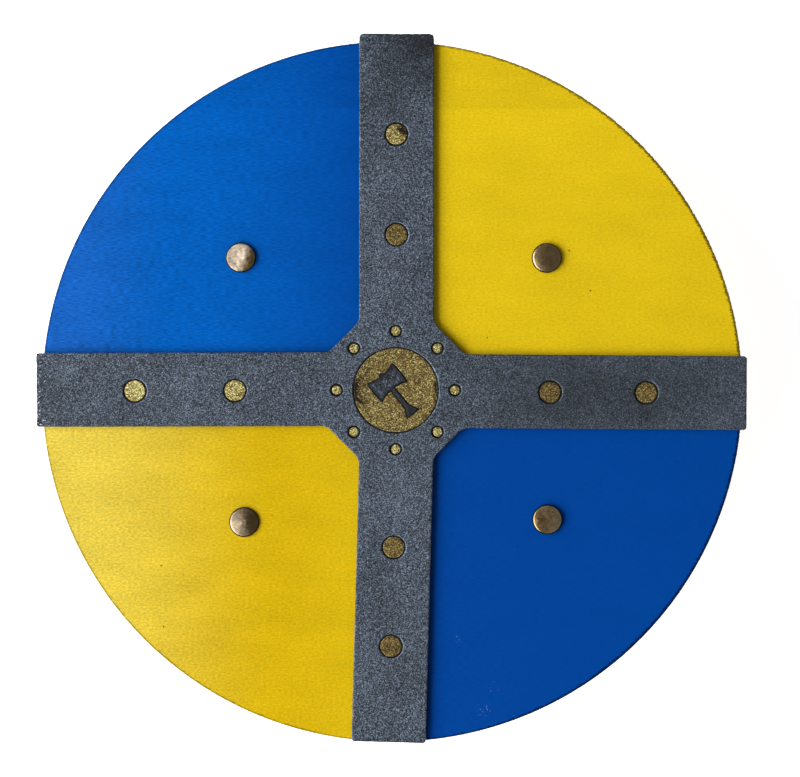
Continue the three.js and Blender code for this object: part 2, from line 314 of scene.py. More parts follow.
def make_piece(name, shell, finishes, stands_for, attributes=None, flat_finishes=(), crease=50):
    """Turns a shell into a mesh object at the origin, in metres, that stands for a CAD node."""
    mesh = bpy.data.meshes.new(name)
    faces = [face for batch in shell.faces for face in batch.tolist()]
    mesh.from_pydata((shell.points * MM).tolist(), [], faces)
    for finish in finishes:
        mesh.materials.append(finish)
    index = np.concatenate(shell.finishes).astype(np.int32)
    mesh.polygons.foreach_set("material_index", index)
    mesh.polygons.foreach_set("use_smooth", ~np.isin(index, flat_finishes))
    mesh.set_sharp_from_angle(angle=math.radians(crease))
    for key, values in (attributes or {}).items():
        vector = values.ndim == 2
        layer = mesh.attributes.new(key, "FLOAT_VECTOR" if vector else "FLOAT", "POINT")
        layer.data.foreach_set("vector" if vector else "value", values.astype(np.float32).ravel())
    mesh.update()
    piece = bpy.data.objects.new(name, mesh)
    bpy.context.collection.objects.link(piece)
    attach(piece, "root")
    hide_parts(stands_for)
    return piece


def blots(x, y, marks):
    """Soft oval marks added up, each given by its place, its length and width, its turn in
    degrees and its strength: strength times exp(-(u/length)^2 - (v/width)^2), kept in bounds."""
    total = np.zeros(np.shape(x))
    for px, py, length, width, turn, strength in marks:
        c, s = math.cos(math.radians(turn)), math.sin(math.radians(turn))
        u = ((x - px) * c + (y - py) * s) / length
        v = ((y - py) * c - (x - px) * s) / width
        total += strength * np.exp(-u * u - v * v)
    return np.clip(total, -3, 1.5)


# The board.

BLUE, YELLOW, EDGE, BACK = range(4)
# Points round the rim, how far out of the circle it may run, the rounding of the back's corner,
# how far in the faces keep still, and the step and end of the seams between the quarters.
RIM_COUNT = 2400
RIM_LIMIT = 0.5
BACK_ROUND = 0.4
FACE_INSET = 2
FLAT_STEP = 8.0
SEAM_END = 169
# Single burrs of the rim: angle in degrees, reach and width in millimetres.
CORNER_BURRS = ((25.4, 0.5, 0.25), (33.6, 0.35, 0.3), (20.1, 0.35, 0.2), (16.3, 0.4, 0.2),
                (8.2, 0.3, 0.3), (-10.4, 0.35, 0.2), (50.7, 0.3, 0.3), (61.9, 0.3, 0.4),
                (12.1, 0.3, 0.25))


def turned(angle, place):
    """How far angles are turned from a place, between -180 and 180 degrees."""
    return (angle - place + 180) % 360 - 180


def rim_swell(angle):
    """How far the hand-guided cut runs outside the circle, in millimetres, by the angle in
    degrees: a little all round and most on the diagonals, as sin(2 angle)^2."""
    return 0.14 + 0.2 * np.sin(2 * np.radians(angle)) ** 2


def rim_raggedness(angle):
    """How far the cut rim's fibres stand out of or fall short of the cut, in millimetres, by the
    angle in degrees: a fine ripple, strongest on the right, and a few single burrs, each a bump
    exp(-(arc/width)^2)."""
    arc = np.radians(angle) * BOARD_RADIUS
    right = np.exp(-(turned(angle, 38) / 42) ** 2)
    fine = ripple(arc, 0 * arc, 1.7, 11, 24) + 0.7 * ripple(arc, 0 * arc, 0.95, 12, 24)
    out = fine * (0.03 + 0.12 * right)
    for place, reach, width in CORNER_BURRS:
        out += reach * np.exp(-(np.radians(turned(angle, place)) * BOARD_RADIUS / width) ** 2)
    return np.minimum(out, RIM_LIMIT - rim_swell(angle))


def board_shell(sizes):
    """The plywood disc. Its rim is a rounded profile with a faint hollow at three glue lines,
    carried round a circle. Its front corner follows the raggedness of the cut, and both faces are
    flat nets with a hole at each rivet."""
    shell = Shell()
    thick = BOARD_FRONT - BOARD_BACK
    back_round, front_round = BACK_ROUND, sizes.rim_rounding / MM
    profile = [(2 * FACE_INSET, 0), (back_round + 0.3, 0)]
    profile += arc_profile(back_round, back_round, back_round, -90, 0, 3)
    profile += [(0.06, 1.3), (0, 1.5), (0.05, 2.6), (0, 2.9), (0.07, 4.0), (0, 4.3)]
    profile += arc_profile(front_round, thick - front_round, front_round, 0, 90, 4)
    profile += [(front_round + 0.3, thick), (2 * FACE_INSET, thick)]
    profile = np.array(profile)
    loop = circle(0, 0, BOARD_RADIUS, RIM_COUNT)
    bands = np.where(profile[:-1, 1] < 0.01, BACK, EDGE)
    rim = shell.rings(loop, profile, bands)
    angle = np.degrees(np.arctan2(loop[:, 1], loop[:, 0])) % 360
    swell, ragged = rim_swell(angle), rim_raggedness(angle)
    height = profile[:, 1] / thick
    weight = np.clip((height - 0.55) / 0.3, 0.25, 1)
    spread = outward(loop)
    for ring, inset, share in zip(rim, profile[:, 0], weight):
        if inset < FACE_INSET:
            shell.points[ring, :2] += spread * (swell + ragged * share)[:, None]
    front, back = [rim[-1]], [rim[0]]
    for corner in CORNERS:
        lowest, highest = shell.hole(*middle(f"rivet_cap_{corner}"), 40, thick, 0.12, 0.6, EDGE)
        front.append(highest)
        back.append(lowest)
    reach = np.arange(FLAT_STEP, SEAM_END, FLAT_STEP)
    seams = [np.stack([np.concatenate([-reach[::-1], [0], reach]), np.zeros(2 * len(reach) + 1)], 1)]
    seams += [np.stack([0 * reach, reach * sign], 1) for sign in (-1, 1)]
    shell.fill(front, FLAT_STEP, BLUE, seams=seams)
    shell.fill(back, FLAT_STEP, BACK, up=False)
    for i, faces in enumerate(shell.faces):
        centre = shell.points[faces].mean(1)
        painted = centre[:, 2] > thick - front_round
        quarter = np.where(centre[:, 0] * centre[:, 1] < 0, BLUE, YELLOW)
        shell.finishes[i] = np.where(painted, quarter, shell.finishes[i])
    shell.points[:, 2] += BOARD_BACK
    return shell


# The foam cross.

FOAM, FOAM_CUT, GOLD = range(3)
# Steps in the rounding of the foam's upper edge, and how far out the arms' ends begin.
SOFT_STEPS = 6
ARM_ENDS = 170


def unit(degrees):
    """Unit vector at an angle in degrees."""
    return np.array([math.cos(math.radians(degrees)), math.sin(math.radians(degrees))])


def left_of(ahead):
    """The direction to the left of another."""
    return np.array([-ahead[1], ahead[0]])


def meet(p, u, q, v):
    """The point where two lines meet, each given by a point and a direction."""
    d = q - p
    return p + u * ((d[0] * v[1] - d[1] * v[0]) / (u[0] * v[1] - u[1] * v[0]))


def arm_lines(arm):
    """Direction, left side, middle line and end of an arm, about the hub's centre."""
    ahead = unit(arm["heading"])
    left = left_of(ahead)
    start = left * arm["shift"]
    end = start + ahead * (BOARD_RADIUS + arm["overhang"] - ahead @ HUB)
    return ahead, left, start, end


def cross_outline(step):
    """Outline of the cross: four arms, and between them the slanted sides of an eight-sided
    hub, whose normals lie halfway between the arms."""
    corners, radii = [], []
    for arm in ARMS:
        ahead, left, start, end = arm_lines(arm)
        sides = [start + left * sign * arm["width"] / 2 for sign in (-1, 1)]
        slants = [unit(round(arm["heading"] / 90) * 90 + turn) for turn in (-45, 45)]
        inner = [meet(side, ahead, n * HUB_HALF_WIDTH, left_of(n)) for side, n in zip(sides, slants)]
        outer = [meet(side, ahead, end, left) for side in sides]
        corners += [inner[0], outer[0], outer[1], inner[1]]
        radii += [HUB_FILLET, arm["corner"], arm["corner"], HUB_FILLET]
    return rounded_loop(corners, radii, step)


def axe_outline(steps=7):
    """A plain two-bladed axe, upright about the middle of its head, anticlockwise: each blade is
    three quadratic curves, and a straight handle spreads into a foot."""
    edge, tip, waist, grip, foot, curl = 8, 5.85, 4.3, 1.3, 3.7, 4.8
    end = -waist - 15.9
    t = (np.arange(steps) / steps)[:, None]

    def curve(a, b, c):
        a, b, c = (np.array(p, float) for p in (a, b, c))
        return a * (1 - t) ** 2 + b * 2 * t * (1 - t) + c * t ** 2

    right = np.concatenate([
        curve((grip, -waist), (curl, -waist), (edge, -tip)),
        curve((edge, -tip), (edge + 0.9, 0), (edge, tip)),
        curve((edge, tip), (curl, waist), (grip, waist)),
        [(grip, waist)],
    ])
    handle = np.concatenate([cut(np.array([foot, end]), np.array([grip, end + 5]), 1.2),
                             cut(np.array([grip, end + 5]), np.array([grip, -waist]), 1.2)])
    right = np.concatenate([handle, right])
    left = right[::-1] * (-1, 1)
    return np.concatenate([right, [(0, waist + 1.3)], left])


def cross_recesses():
    """Place, radius and tone of every round recess, about the hub's centre: the roundel, the
    hub's ring of dots, and two spots on each arm, counted from its end. The tone is a painted
    sheen on the gold, brighter towards the light on the left."""
    places = [(0, 0, ROUNDEL_RADIUS, -0.15)]
    places += [(*(unit(i * 360 / DOT_COUNT) * DOT_CIRCLE), DOT_RADIUS, 0.4) for i in range(DOT_COUNT)]
    for arm in ARMS:
        ahead, left, _, end = arm_lines(arm)
        for back, tone in zip((arm["inset"], arm["inset"] + arm["spacing"]), arm["tones"]):
            places.append((*(end - ahead * back + left * arm["spot_shift"]), SPOT_RADIUS, tone))
    return places


# Worn and dirty places on the cross; the foam's list also darkens the right arm as painted
# shade, away from the light: x, y from the board's centre, length, width, turn, strength.
GOLD_WEAR = (
    (-18.2, 0.2, 4.6, 1.0, 92, 0.7), (-16.4, -4.6, 2.4, 0.5, -42, 0.9), (-17.4, 4.5, 2.5, 1.2, 60, 0.45),
    (21.9, 0.4, 2.6, 0.8, 94, 0.95), (19.8, 5.4, 3.4, 0.35, -44, 0.55), (21.2, 3.4, 1.4, 0.8, 80, 0.6),
    (-12.5, 9.0, 4.5, 1.6, 35, 0.22), (9.5, 12.5, 5, 2.0, -40, 0.12), (-15.0, 0.0, 5, 11, 0, 0.42),
    (4.9, 129.8, 3.6, 2.2, -60, 0.62), (5.6, 130.2, 1.8, 0.9, -60, 0.5), (3.0, 131.6, 2.2, 1.2, 0, 0.4),
    (1.2, -128.2, 4.8, 3.6, 20, 0.25),
)
FOAM_DIRT_AND_SHADE = (
    (17, 173, 13, 6, 22, -2.4), (5, 177, 13, 3, 0, -1.2), (17, 158, 9, 8, 0, -0.8),
    (0, 152, 28, 15, 90, -0.75), (18, 40, 10, 7, 60, -0.4), (100, 0, 60, 18, 0, -0.95),
    (-60, 0, 22, 16, 0, -0.3), (-171, 0, 6, 14, 25, -0.5), (28, 17, 12, 6, 0, -0.4),
    (60, 14, 18, 5, 0, -0.2), (-8, -106, 10, 12, 0, -0.35), (-8, -88, 8, 5, 20, -0.4),
    (26, -10, 3, 3, 0, -0.5), (135, -8, 30, 6, 8, -0.2), (-150, -13, 22, 4, 0, -0.3),
    (5, 84, 7, 5, 0, -0.2), (160, 10, 14, 8, 0, -0.35), (-60, 15, 20, 4, 0, -0.2),
    (0, -60, 24, 14, 90, 0.25), (0, -150, 14, 13, 0, -0.1), (-165, 8, 8, 6, 20, 0.3),
    (-150, 4, 40, 14, 0, -0.2), (-177.5, -15.8, 2.4, 1.6, 60, -2.6),
)


def cut_waver(x, y):
    """How far the foam's cut edge falls short of the drawn outline, in millimetres, as negative
    numbers: slow and quick ripples all round, a torn and slanting left end with a burr near its
    lower corner, and a nibbled top end."""
    waver = 0.05 * ripple(x, y, 9, 21) - 0.06 + 0.03 * ripple(x, y, 1.6, 22, 20)
    torn = np.clip((-176.4 - HUB[0] - x) / 0.8, 0, 1)
    slant = 0.32 * np.clip((14 - y) / 26, 0, 1) * (1 - np.exp(-((y + 16.5) / 1.1) ** 2))
    waver -= torn * (0.14 + 0.09 * ripple(x, y, 1.3, 23, 20) + 0.1 * ripple(x, y, 3.4, 25, 16) + slant)
    nibbled = np.clip(y + HUB[1] - 175.5, 0, 1) * (x > -4)
    return waver - nibbled * 0.10 * (1 + ripple(x, y, 1.9, 24, 20))


def recess_wall(radius, thick, brim, floor):
    """The wall of a round recess as (inset, height): from the gold's edge at the brim down to
    the floor of the dark groove round it, and up to a softly rounded lip."""
    pad, groove = GROOVES[radius]
    return [(pad - 0.35, brim), (pad - 0.1, brim - 0.08), (pad, floor), (groove - 0.12, floor),
            (groove, thick - 0.32), *arc_profile(groove + 0.55, thick - 0.4, 0.4, 25, 90, 4),
            (groove + 0.75, thick)]


def edge_wear(outline):
    """How bare of paint the rounded edge is, from 0 to 1: at the ends of the arms, and in a few
    nicks where a ripple along the outline is high."""
    ends = np.clip(np.abs(outward(outline) * (np.abs(outline) > ARM_ENDS)), 0, 1).sum(1)
    nicks = np.clip(ripple(*outline.T, 2.2, 43, 20) * 1.6 - 1.1, 0, 1)
    return np.clip(ends * (0.8 + 0.5 * ripple(*outline.T, 3, 44, 16)) + nicks, 0, 1)


def cross_shell(sizes):
    """The foam sheet. A softly rounded edge is carried along its wavering outline, each recess
    is a dark wall carried round a circle down to a gritty gold floor, and the axe stands in the
    roundel as an island. The whole face sags by a gentle ripple."""
    shell = Shell()
    thick = FOAM_FRONT - FOAM_BACK
    soft = sizes.foam_rounding / MM
    floor = thick - sizes.recess_depth / MM
    brim = thick - sizes.gold_level / MM
    outline = cross_outline(0.7)
    profile = [(0.5, 0), *arc_profile(0.2, 0.2, 0.2, -90, 0, 2), (0.04, thick * 0.45)]
    profile += arc_profile(soft, thick - soft, soft, 0, 90, SOFT_STEPS)
    profile += [(soft + 0.2, thick)]
    profile = np.array(profile)
    bands = np.where(profile[:-1, 1] < thick - soft - 0.01, FOAM_CUT, FOAM)
    edge = shell.rings(outline, profile, bands)
    waver = np.minimum(cut_waver(*outline.T), 0)
    fade = np.clip(1 - profile[:, 0] / (soft + 0.2), 0, 1)
    shell.points[edge, :2] += outward(outline) * (fade[:, None] * waver)[..., None]
    top = [edge[-1]]
    floors, gritty, tones, lips = [], [], [], []
    for px, py, radius, tone in cross_recesses():
        count = max(40, int(2 * math.pi * radius / 0.5))
        loop = circle(px, py, radius, count, True)
        wall = recess_wall(radius, thick, brim, floor)
        tones.append(tone)
        rings = shell.rings(loop, wall, [GOLD] * 2 + [FOAM_CUT] * 2 + [FOAM] * (len(wall) - 5))
        top.append(rings[-1])
        floors.append([rings[0]])
        lips.append((rings[-4:-1], np.arctan2(*(loop - (px, py)).T[::-1])))
    turn = math.radians(AXE_TURN)
    turned_axes = np.array([[math.cos(turn), math.sin(turn)], [-math.sin(turn), math.cos(turn)]])
    axe = axe_outline() @ turned_axes
    axe_wall = [(-0.45, brim), (-0.3, brim - 0.1), (-0.15, floor), (0.05, thick - 0.3),
                (0.2, thick - 0.1), (0.45, thick - 0.03), (0.8, thick)]
    island = shell.rings(axe + AXE_PLACE, axe_wall, [GOLD] + [FOAM_CUT] * 4 + [FOAM])
    floors[0].append(island[0])
    shell.fill([island[-1]], 1.2, FOAM)
    axe_top = np.unique(shell.faces[-1])
    shell.fill(top, 2.4, FOAM)
    shell.fill([edge[0]], 6, FOAM_CUT, up=False)
    gold_tone = {}
    for rings, tone in zip(floors, tones):
        gritty.append(shell.fill(rings, sizes.glitter_grain / MM, GOLD))
        gold_tone[tone] = np.concatenate([gold_tone.get(tone, np.empty(0, int)), *rings, gritty[-1]])
    gritty = np.concatenate(gritty)
    rng = np.random.default_rng(5)
    shell.points[gritty, 2] += rng.normal(0, 0.04, len(gritty))
    x, y, z = shell.points.T
    sag = 0.10 * (ripple(x, y, 34, 31) - 1) + 0.035 * (ripple(x, y, 7, 32, 16) - 1)
    shell.points[:, 2] += np.clip(z / thick, 0, 1) * np.minimum(sag, 0)
    shell.points += (*HUB, FOAM_BACK)
    x, y = shell.points[:, 0], shell.points[:, 1]
    # The foam's tone: dirt and worn marks, with painted shade on the right arm.
    tone = blots(x, y, FOAM_DIRT_AND_SHADE)
    tone[axe_top] = -0.8 + 0.9 * ripple(x[axe_top], y[axe_top], 5, 41)
    tone[axe_top] -= 3.4 * np.clip((x - y)[axe_top] / 8 - 1, 0, 1)
    tone[island[-2:]] = np.array([[-3.0], [-1.8]])
    # Painted highlight: the lip on the right of each recess faces the light and is made lighter.
    for lip, angle in lips:
        tone[lip] += 1.4 * np.clip(np.cos(angle - math.radians(15)), 0, 1)
    tone[edge[-SOFT_STEPS - 1:]] -= 3 * edge_wear(outline) * np.linspace(1, 0, SOFT_STEPS + 1)[:, None]
    # The gold floors take their recess's tone: a painted sheen.
    for value, ids in gold_tone.items():
        tone[ids] = value
    return shell, {"tone": tone, "wear": blots(x, y, GOLD_WEAR)}


# The rivets.

# What sets each cap apart, with lengths in millimetres: how far it leans along X and Y, its
# dents' depth and size, the height of a small nib at its middle, how conical it is, how far its
# plating is rubbed pale, which on most caps is also a painted highlight on the side towards the
# light, the heading in degrees that the rubbing fades towards and how far across it fades as a
# share of the radius, how dark the far side is, as painted shade away from the light and as a
# dark smudge on the bottom right cap, and its dents' seed.
CAP_CHARACTER = {
    "top_left": dict(lean=(0.15, -0.02), dent=0.07, dent_size=3.4, nib=0.0, cone=0.1,
                     rubbed=1.0, heading=-24, fade=0.34, dark=0.2, seed=8),
    "top_right": dict(lean=(0.0, 0.0), dent=0.015, dent_size=5.0, nib=0.0, cone=0.0,
                      rubbed=0.1, heading=10, fade=-0.25, dark=0.22, seed=9),
    "bottom_left": dict(lean=(0.03, 0.0), dent=0.03, dent_size=4.0, nib=-0.16, cone=0.5,
                        rubbed=0.42, heading=8, fade=0.1, dark=0.42, seed=11),
    "bottom_right": dict(lean=(0.0, 0.0), dent=0.06, dent_size=3.8, nib=0.0, cone=0.0,
                         rubbed=0.18, heading=205, fade=0.15, dark=0.22, seed=12),
}
CAP_SIDES = 96
POST_SIDES = 64


def dome(radius, edge, height, fullness=2.0, cone=0.0, steps=28):
    """A low dome on a short upright edge, as (radius, height) from its foot up to the axis. With
    q as radius over the full radius it rises as (1 - q^n)^(1/n), mixed with a cone's 1 - q."""
    share = np.cos((np.arange(steps + 1) / steps) ** 1.3 * math.pi / 2)
    share[-1] = 0
    rise = (1 - cone) * (1 - share ** fullness) ** (1 / fullness) + cone * (1 - share)
    return np.stack([radius * share, edge + (height - edge) * rise], 1)


def rivet_box(node):
    """A rivet piece's lowest and highest point, its radius and its middle, in millimetres."""
    low, high = (np.array(end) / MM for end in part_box(node))
    return low[2], high[2], (high[0] - low[0]) / 2, middle(node)


def cap_shell(corner):
    """The domed cap and its hollow stem, turned about the rivet's axis. The dome leans and is
    dented: its height changes by (lean . place + dents) times 1 - (r/R)^2, and a nib is a small
    pit exp(-(r/width)^2) at the axis. Its marks are how dark its foot is, with painted shade in the
    gap under its rim and on its far side, and how rubbed it is, partly a painted highlight."""
    cap = CAP_CHARACTER[corner]
    shell = Shell()
    low, high, radius, place = rivet_box(f"rivet_cap_{corner}")
    seat = BOARD_FRONT + SEAT_GAP
    top = high - seat
    stem = seat - low
    quarter = np.linspace(0, math.pi / 2, 5)
    rolled = np.stack([radius - CAP_ROLL * (1 - np.sin(quarter)),
                       CAP_ROLL * (1 - np.cos(quarter))], 1)
    tube = [(0, 0), (STEM_BORE, 0), (STEM_BORE, -stem), (STEM_RADIUS, -stem), (STEM_RADIUS, 0)]
    crown = dome(radius, CAP_EDGE, top, CAP_FULLNESS, cap["cone"])
    profile = np.concatenate([tube, [(radius - 1, 0)], rolled, [(radius, 0.2)], crown])
    shell.lathe(profile, CAP_SIDES, 0)
    x, y, z = shell.points.T
    reach = np.hypot(x, y)
    share = np.where(z > CAP_EDGE + 0.05, np.clip(1 - (reach / radius) ** 2, 0, 1), 0)
    lean_x, lean_y = cap["lean"]
    change = lean_x * x + lean_y * y - 0.5 * radius * math.hypot(lean_x, lean_y)
    change += cap["dent"] * (ripple(x, y, cap["dent_size"], cap["seed"]) - 1)
    lift = change * share + cap["nib"] * np.exp(-(reach / 0.55) ** 2) * (share > 0)
    shell.points[:, 2] = np.where(share > 0, np.minimum(z + lift, top), z)
    across = np.stack([x, y], 1) @ unit(cap["heading"]) / radius
    across = across + 0.09 * ripple(x, y, 2.6, cap["seed"] + 20)
    # The far side darkens as painted shade away from the light, a smudge on the bottom right cap; the
    # near side is rubbed pale, partly a painted highlight.
    far_side = np.clip((across - cap["fade"]) / 0.5 + 0.5, 0, 1)
    pit = 0.75 * np.exp(-(reach / 0.5) ** 2) * (cap["nib"] < 0)
    # A dark ring round the cap's foot: the dip, and painted shade in the gap under the rim.
    ring = np.clip((reach / radius - 0.9) / 0.03, 0, 1)
    marks = {"foot": np.maximum(ring, cap["dark"] * far_side + pit), "rubbed": cap["rubbed"] * (1 - far_side)}
    shell.points += (*place, seat)
    return shell, marks


def post_shell(corner):
    """The capped post behind, turned about the same axis, with its pin inside the stem."""
    shell = Shell()
    low, high, radius, place = rivet_box(f"rivet_post_{corner}")
    seat = BOARD_BACK - POST_SEAT
    drop = seat - low
    tip = high - seat
    outside = dome(radius, 0.5, drop, steps=14)[::-1] * (1, -1)
    profile = np.concatenate([outside, [
        (radius, -0.25), (radius - 0.08, -0.07), (radius - 0.25, 0), (PIN_RADIUS, 0),
        (PIN_RADIUS, tip - 0.3), (PIN_RADIUS - 0.3, tip), (0, tip)]])
    shell.lathe(profile, POST_SIDES, 0)
    x, y, z = shell.points.T
    reach = np.hypot(x, y) / radius
    share = np.where(z < -0.3, np.clip(1 - reach ** 2, 0, 1), 0)
    shell.points[:, 2] += share * 0.04 * (1 + ripple(x, y, 4, 50 + CORNERS.index(corner)))
    marks = {"foot": np.clip((reach - 0.92) / 0.07, 0, 1), "rubbed": np.full(len(x), 0.2)}
    shell.points += (*place, seat)
    return shell, marks


# The straps.

GRAIN, FLESH, CUT_EDGE = range(3)


def strap_line(span, thick, bend_step=0.1):
    """Side view of a bowed strap as arrays of run, y, z and heading along its middle: flat tabs,
    a bend down, a straight leg, a bend back to level and a flat crown, then the same mirrored.
    The heading changes evenly along each bend, and the place is the heading's running sum."""
    bends = STRAP_HEEL + STRAP_CROWN
    leg = (STRAP_BOW - bends * (1 - math.cos(STRAP_SLOPE))) / math.sin(STRAP_SLOPE)
    leg_span = bends * math.sin(STRAP_SLOPE) + leg * math.cos(STRAP_SLOPE)
    crown = span - 2 * (STRAP_TAB_INNER + leg_span)
    heel, rise = STRAP_HEEL * STRAP_SLOPE, STRAP_CROWN * STRAP_SLOPE
    lengths = [STRAP_TAB_OUTER + STRAP_TAB_INNER, heel, leg, rise]
    turns = [0, -STRAP_SLOPE, 0, STRAP_SLOPE]
    lengths, turns = lengths + [crown] + lengths[::-1], turns + [0] + turns[::-1]
    stops = np.concatenate([[0], np.cumsum(lengths)])
    headings = np.concatenate([[0], np.cumsum(turns)])
    run = np.linspace(0, stops[-1], int(stops[-1] / bend_step) + 1)
    heading = np.interp(run, stops, headings)
    between = (heading[1:] + heading[:-1]) / 2
    step = run[1] - run[0]
    y = np.concatenate([[0], np.cumsum(np.cos(between))]) * step - span / 2 - STRAP_TAB_OUTER
    z = np.concatenate([[0], np.cumsum(np.sin(between))]) * step - thick / 2
    return run, y, z, heading


def strap_shell(side, sizes):
    """A leather strap. A flat blank with rounded ends, a rivet hole in each tab, rounded edges
    and a pressed line along them is bent: each of its points goes along the side view by its
    run, and off it along the side view's normal by its height."""
    shell = Shell()
    thick = sizes.strap_thickness / MM
    low = middle(f"rivet_cap_bottom_{side}")
    high = middle(f"rivet_cap_top_{side}")
    along = high - low
    span = float(np.linalg.norm(along))
    half = sizes.strap_width / MM / 2
    run, y, z, heading = strap_line(span, thick)
    length = run[-1]
    corners = [(0, -half), (length, -half), (length, half), (0, half)]
    blank = rounded_loop(corners, [STRAP_CORNER] * 4, 1.2, 0.6)
    edge = sizes.strap_edge_round / MM
    profile = [(4.6, 0), (2.75, 0), (2.5, 0.12), (2.2, 0.2), (1.9, 0.12), (1.65, 0), (edge + 0.15, 0)]
    profile += arc_profile(edge, edge, edge, -90, 0, 4)
    profile += arc_profile(edge, thick - edge, edge, 0, 90, 4)
    profile += [(edge + 0.3, thick), (2.6, thick)]
    outer = shell.rings(blank, profile, [GRAIN] * 7 + [CUT_EDGE] * 9 + [FLESH] * 2)
    under, over = [outer[0]], [outer[-1]]
    for place in (STRAP_TAB_OUTER, length - STRAP_TAB_OUTER):
        lowest, highest = shell.hole(place, 0, 32, thick, 0.1, 0.5, CUT_EDGE)
        under.append(lowest)
        over.append(highest)
    shell.fill(under, 1.5, GRAIN, up=False)
    shell.fill(over, 1.5, FLESH)
    lay = shell.points.copy()
    s, v, w = lay.T
    bend = np.interp(s, run, np.gradient(heading, run))
    crease = np.clip(np.abs(bend) * 10 - 0.3, 0, 1)
    folds = ripple(s, v * 0.25, 2.2, 71) * np.sin(np.pi * np.clip(w / thick, 0, 1) / 2 + 0.6)
    w = w + 0.05 * crease * folds
    w = np.clip(w, 0, thick) - thick / 2
    h = np.interp(s, run, heading)
    place_y = np.interp(s, run, y) - np.sin(h) * w
    place_z = np.interp(s, run, z) + np.cos(h) * w
    turn = math.atan2(along[1], along[0]) - math.pi / 2
    c, sn = math.cos(turn), math.sin(turn)
    centre = (low + high) / 2
    shell.points = np.stack([centre[0] - v * c - place_y * sn,
                             centre[1] - v * sn + place_y * c,
                             BOARD_BACK - SEAT_GAP + place_z], 1)
    return shell, lay * MM, crease


# Materials. Places inside their node trees are in metres, as Object coordinates are. The inputs
# of a MapRange are its value, the two ends it runs between and the two that they become.

# A length in millimetres so great that a pattern keeps still along it.
ENDLESS = 1000.0


def give(tree, socket, value):
    """Links a socket to another socket, or sets it to any other value."""
    if isinstance(value, bpy.types.NodeSocket):
        tree.links.new(value, socket)
    else:
        socket.default_value = value


def add(tree, kind, inputs=(), out=0, stops=(), **settings):
    """Adds a node with its settings and returns one of its outputs. Its inputs come in their
    order, or by number or name. Stops are a colour ramp's places and colours."""
    node = tree.nodes.new("ShaderNode" + kind)
    for key, value in settings.items():
        setattr(node, key, value)
    for key, value in inputs.items() if isinstance(inputs, dict) else enumerate(inputs):
        give(tree, node.inputs[key], value)
    if stops:
        elements = node.color_ramp.elements
        while len(elements) < len(stops):
            elements.new(1.0)
        for element, (place, colour) in zip(elements, stops):
            element.position, element.color = place, colour
    return node.outputs[out]


def pattern(tree, kind, size, out=0, **inputs):
    """A texture on Object coordinates whose features are x by y by z millimetres in size."""
    here = add(tree, "TexCoord", out="Object")
    scale = [1 / (length * MM) for length in (*size, ENDLESS)[:3]]
    place = add(tree, "Mapping", {"Vector": here, "Scale": scale})
    return add(tree, kind, {"Vector": place, "Scale": 1.0, **inputs}, out)


def new_material(name):
    """An empty material and its node tree."""
    finish = bpy.data.materials.new(name)
    finish.use_nodes = True
    return finish, finish.node_tree


def cover(finish, height=None, strength=1.0, depth=0.0, **sockets):
    """Sets or links the sockets of a material's shader by their names, and gives it the relief
    of a height, with its strength and its depth in millimetres."""
    tree = finish.node_tree
    shader = tree.nodes["Principled BSDF"]
    if height is not None:
        sockets["normal"] = add(
            tree, "Bump", {"Height": height, "Strength": strength, "Distance": depth * MM})
    for key, value in sockets.items():
        give(tree, shader.inputs[key.replace("_", " ").title().replace("Ior", "IOR")], value)
    return finish


# Specks and washed places in the paint: x, y from the board's centre, and radius.
DARK_SPECKS = ((-115.5, -87.0, 0.55), (-114.3, -117.5, 0.55), (88.5, 70.5, 0.6), (99.2, 50.5, 0.6),
               (47.5, 27, 0.5), (-60.0, -62.0, 0.4), (62.4, -77.5, 0.4))
WASHED_MARKS = ((46.1, -159.5, 5.0), (60.5, -79.5, 1.4), (33.0, -124.0, 2.6), (51.0, -148.0, 3.5),
                (-40.0, -61.0, 1.2))


